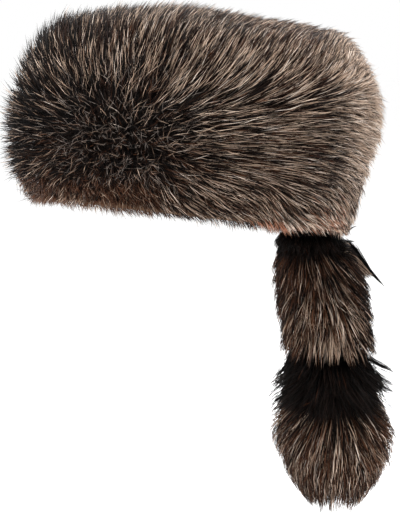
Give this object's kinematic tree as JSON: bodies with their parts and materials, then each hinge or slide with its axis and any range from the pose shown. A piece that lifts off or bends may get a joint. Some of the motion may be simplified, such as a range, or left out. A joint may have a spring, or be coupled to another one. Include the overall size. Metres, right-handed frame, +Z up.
{
  "type": "coonskin cap",
  "caption": "Round fur cap of hide with deep brown fur, its ringed black and brown tail hanging from the back of the rim.",
  "frame": {"origin": "middle of the rim, where a head goes in", "axes": "+Z up, -Y to the front of the cap, +Y to the back where the tail hangs; the cap is worn tipped back by 7.5 degrees about X"},
  "size_m": [0.2499, 0.3004, 0.3739],
  "materials": {
    "hide": "matte",
    "cap_fur": "matte",
    "brown_tail_fur": "matte",
    "black_tail_fur": "satin"
  },
  "bodies": {
    "root": {"side_band": "hide", "crown": "hide", "side_band_fur": "cap_fur", "crown_fur": "cap_fur", "tail_ring_upper": "black_tail_fur", "tail_upper": "brown_tail_fur", "tail_ring_lower": "black_tail_fur", "tail_tip": "brown_tail_fur"}
  },
  "joints": []
}
